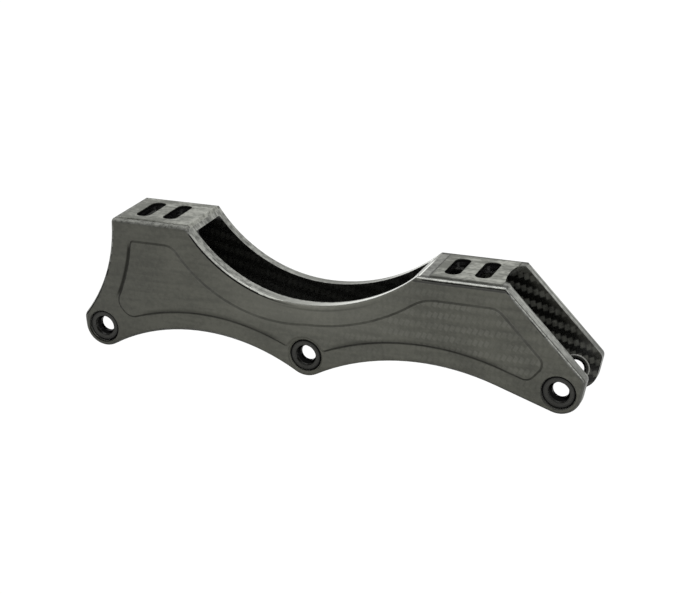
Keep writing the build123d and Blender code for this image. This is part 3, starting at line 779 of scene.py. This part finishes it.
def faced_laminate():
    """Flat milled face of a mount plate: grey and mottled, with tool marks along the frame."""
    g = Graph("faced_laminate")
    spots = g.spots(*PLATE_SPOTS)
    tone = g.plus(g.times(g.spots(*PLATE_CLOUDS), 0.35), g.times(spots, 0.3))
    tone = g.plus(tone, g.times(g.streaks(*PLATE_MARKS), 0.3))
    warp = g.twill(INNER_TOW, 0.0)[0]
    tone = g.plus(tone, g.times(warp, 0.03))
    front_dark = g.band(g.x, *FRONT_PLATE_DARK, FRONT_PLATE_DARK_SOFT)
    dark = g.times(g.largest(g.ramp(g.x, *REAR_PLATE_DARK), front_dark), 0.075)
    pale = g.times(g.band(g.x, *REAR_PLATE_PALE, REAR_PLATE_PALE_SOFT), 0.03)
    tone = g.plus(g.minus(tone, dark), pale)
    joint, slots = set_colour(g, g.mix(g.ramp(tone, *PLATE_SPREAD), PLATE_DARK, PLATE_LIGHT))
    g.set("Specular IOR Level", g.blend(g.largest(joint, slots), PLAIN_SPECULAR, LINE_SPECULAR))
    g.set("Roughness", g.ramp(spots, *NOISE_SPREAD, *PLATE_ROUGHNESS))
    g.set("Normal", g.bump(tone, 0.03 * MM))
    return g.material


# Inserts: painted shade at the rim of the flange and in the bore inside its mouth, and a painted highlight
# on the rim of the barrel's end
FLANGE_RIM = span_at(FLANGE_RADIUS, -0.95, -0.65)
BORE_FADE = span_at(MOUTH_RADIUS, 0.0, -0.15)
BARREL_RIM = span_at(BARREL_RADIUS, -0.65, -0.45)


def insert_metal():
    """Black anodised aluminium: turning marks round each bore, painted shade on a rim outside and in the
    glossy bore inside, and a painted highlight on the barrel's inner end.
    """
    g = Graph("insert_metal")
    radius = from_axle(g)
    grain = g.spots(*METAL_GRAIN)
    turned = g.noise(g.vector(radius, 0.0, 0.0), *METAL_TURNING)
    tone = g.plus(g.times(grain, 0.4), g.times(turned, 0.6))
    face = g.mix(g.ramp(tone, *NOISE_SPREAD), METAL_DARK, METAL_LIGHT)
    bore = g.ramp(radius, *BORE_FADE)
    # Painted shade at the flange's rim and in the bore
    dark = g.largest(g.ramp(radius, *FLANGE_RIM), bore)
    inner_end = g.below(g.size(g.y), CHANNEL_HALF_WIDTH)
    # Painted highlight on the rim of the barrel's inner end
    lit_rim = g.times(inner_end, g.ramp(radius, *BARREL_RIM))
    g.set("Base Color", g.mix(lit_rim, g.mix(dark, face, METAL_SHADE), METAL_GLINT))
    g.set("Metallic", 0.35)
    g.set("Specular IOR Level", g.blend(dark, PLAIN_SPECULAR, 0.12))
    g.set("Roughness", g.blend(bore, g.ramp(grain, *NOISE_SPREAD, *METAL_ROUGHNESS), BORE_ROUGHNESS))
    return g.material


def foam():
    """Fine closed-cell foam."""
    g = Graph("foam")
    cells = g.spots(*FOAM_CELLS)
    g.set("Base Color", g.mix(cells, FOAM_DARK, FOAM_LIGHT))
    g.set("Roughness", g.ramp(cells, *NOISE_SPREAD, *FOAM_ROUGHNESS))
    return g.material


MAKERS = {
    "outer_laminate": outer_cloth,
    "inner_laminate": inner_cloth,
    "cut_laminate": cut_laminate,
    "faced_laminate": faced_laminate,
    "insert_metal": insert_metal,
    "foam": foam,
}
materials = {slot: make() for slot, make in MAKERS.items()}
for subpart in frame["record"]["subparts"]:
    node = frame["nodes"][subpart["node"]]
    node.data.materials.clear()
    node.data.materials.append(materials[subpart["material_slot"]])


def plain_shader(tree, kind, colour, strength=None):
    """A shader node of one colour, with a strength where it gives light."""
    shader = tree.nodes.new(kind)
    shader.inputs["Color"].default_value = (*colour, 1.0)
    if strength is not None:
        shader.inputs["Strength"].default_value = strength
    return shader


def white_to_camera(tree, output, lighting, white):
    """Shows the white shader to the camera, and the lighting one to all other rays."""
    path = tree.nodes.new("ShaderNodeLightPath")
    choose = tree.nodes.new("ShaderNodeMixShader")
    tree.links.new(path.outputs["Is Camera Ray"], choose.inputs[0])
    tree.links.new(lighting.outputs[0], choose.inputs[1])
    tree.links.new(white.outputs[0], choose.inputs[2])
    tree.links.new(choose.outputs[0], output.inputs["Surface"])


# Floor under the ears: white to the camera, pale and matt as light
BACKDROP_STRENGTH, WORLD_LIGHT = 1.05, 0.55
FLOOR_HALF = 3.0
floor_mesh = bpy.data.meshes.new("floor")
floor_corners = [
    (-FLOOR_HALF, -FLOOR_HALF, -EAR_RADIUS),
    (FLOOR_HALF, -FLOOR_HALF, -EAR_RADIUS),
    (FLOOR_HALF, FLOOR_HALF, -EAR_RADIUS),
    (-FLOOR_HALF, FLOOR_HALF, -EAR_RADIUS),
]
floor_mesh.from_pydata(floor_corners, [], [(0, 1, 2, 3)])
floor = bpy.data.objects.new("floor", floor_mesh)
bpy.context.scene.collection.objects.link(floor)
floor_material = bpy.data.materials.new("floor")
floor_material.use_nodes = True
tree = floor_material.node_tree
tree.nodes.clear()
white_to_camera(
    tree,
    tree.nodes.new("ShaderNodeOutputMaterial"),
    plain_shader(tree, "ShaderNodeBsdfDiffuse", FLOOR_GREY),
    plain_shader(tree, "ShaderNodeEmission", WHITE, BACKDROP_STRENGTH),
)
floor_mesh.materials.append(floor_material)

# World: white to the camera, soft grey as light
world = bpy.data.worlds.new("studio")
bpy.context.scene.world = world
world.use_nodes = True
tree = world.node_tree
tree.nodes.clear()
white_to_camera(
    tree,
    tree.nodes.new("ShaderNodeOutputWorld"),
    plain_shader(tree, "ShaderNodeBackground", WHITE, WORLD_LIGHT),
    plain_shader(tree, "ShaderNodeBackground", WHITE, BACKDROP_STRENGTH),
)


def soft_light(name, place, aim, size, power):
    """A rectangular soft light that faces a point."""
    data = bpy.data.lights.new(name, "AREA")
    data.shape = "RECTANGLE"
    data.size, data.size_y = size
    data.energy = power
    lamp = bpy.data.objects.new(name, data)
    direction = Vector(aim) - Vector(place)
    lamp.matrix_world = Matrix.Translation(place) @ direction.to_track_quat("-Z", "Y").to_matrix().to_4x4()
    bpy.context.scene.collection.objects.link(lamp)


# Lamps above and in front: place, aim and size in metres, power in watts
MIDDLE = (0.12, 0.0, 0.03)
soft_light("top_light", (0.15, 0.25, 1.3), MIDDLE, (1.2, 0.9), 16.0)
soft_light("front_light", (0.5, -1.3, 0.55), MIDDLE, (1.0, 0.8), 6.0)

# Camera: a pinhole with its axes worked out from three turns
CAMERA_PLACE = mm(418.66, -677.00, 320.28)
YAW, PITCH, ROLL = math.radians(23.414), math.radians(21.765), math.radians(1.574)
FOCAL_PIXELS, IMAGE_WIDTH, SENSOR = 1605.0, 678.0, 36.0
forward = np.array([-math.sin(YAW) * math.cos(PITCH), math.cos(YAW) * math.cos(PITCH), -math.sin(PITCH)])
right = np.array([math.cos(YAW), math.sin(YAW), 0.0])
down = np.cross(forward, right)
image_x = math.cos(ROLL) * right + math.sin(ROLL) * down
image_y = -math.sin(ROLL) * right + math.cos(ROLL) * down
camera_data = bpy.data.cameras.new("camera")
camera_data.sensor_fit = "HORIZONTAL"
camera_data.sensor_width = SENSOR
camera_data.lens = FOCAL_PIXELS * SENSOR / IMAGE_WIDTH
camera_data.clip_start = 0.01
camera_data.clip_end = 50.0
camera = bpy.data.objects.new("camera", camera_data)
camera_axes = Matrix([[image_x[i], -image_y[i], -forward[i]] for i in range(3)]).to_4x4()
camera.matrix_world = Matrix.Translation(CAMERA_PLACE) @ camera_axes
bpy.context.scene.collection.objects.link(camera)
bpy.context.scene.camera = camera
bpy.context.scene.view_settings.view_transform = "Standard"
